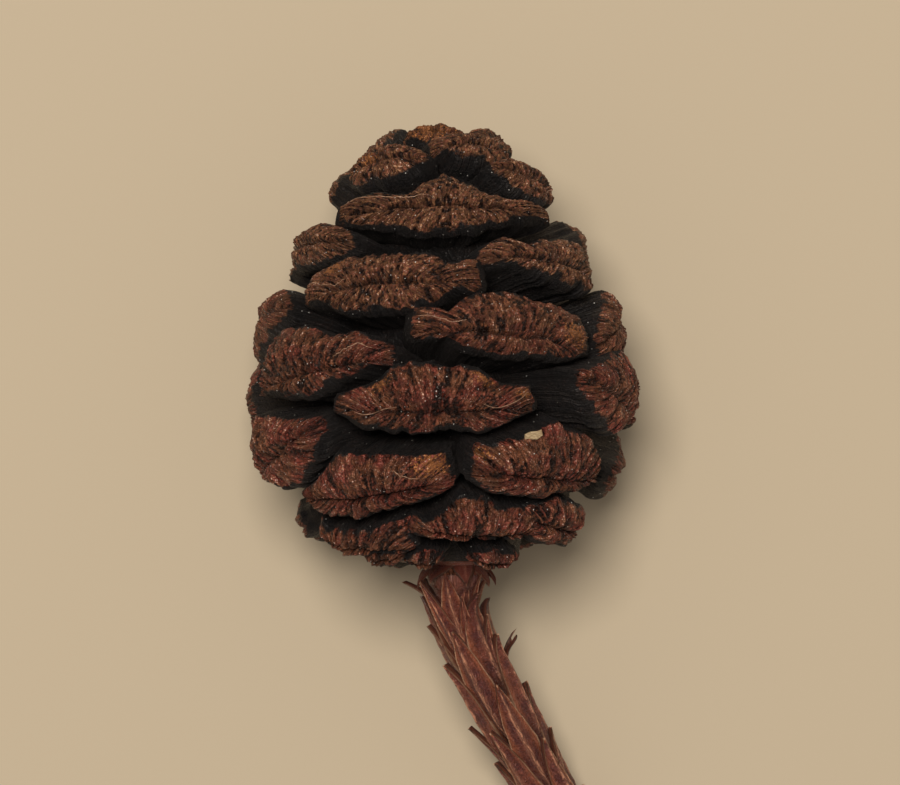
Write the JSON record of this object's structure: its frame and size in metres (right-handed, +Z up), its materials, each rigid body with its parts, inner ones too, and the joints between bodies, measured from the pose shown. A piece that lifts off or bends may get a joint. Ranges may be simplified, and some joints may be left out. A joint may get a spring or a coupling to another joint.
{
  "type": "conifer seed cone",
  "caption": "Ripe coast redwood seed cone lying on its side, egg-shaped with spiralled shield scales, on the leafy twig that it grew on.",
  "frame": {"origin": "point on the floor under the cone's belly, on the small flat spot that it rests on", "axes": "+Z up, +Y along the level axis of the cone from its foot to its tip, +X to the right when the tip points away from the viewer"},
  "size_m": [0.0208, 0.0406, 0.0208],
  "materials": {
    "cone_wood": "rough wrinkled dark brown scales with near-black flanks",
    "twig_bark": "dry red-brown scale leaves with a faint gloss"
  },
  "bodies": {
    "root": {"seed_cone": "cone_wood", "leafy_twig": "twig_bark"}
  },
  "joints": []
}
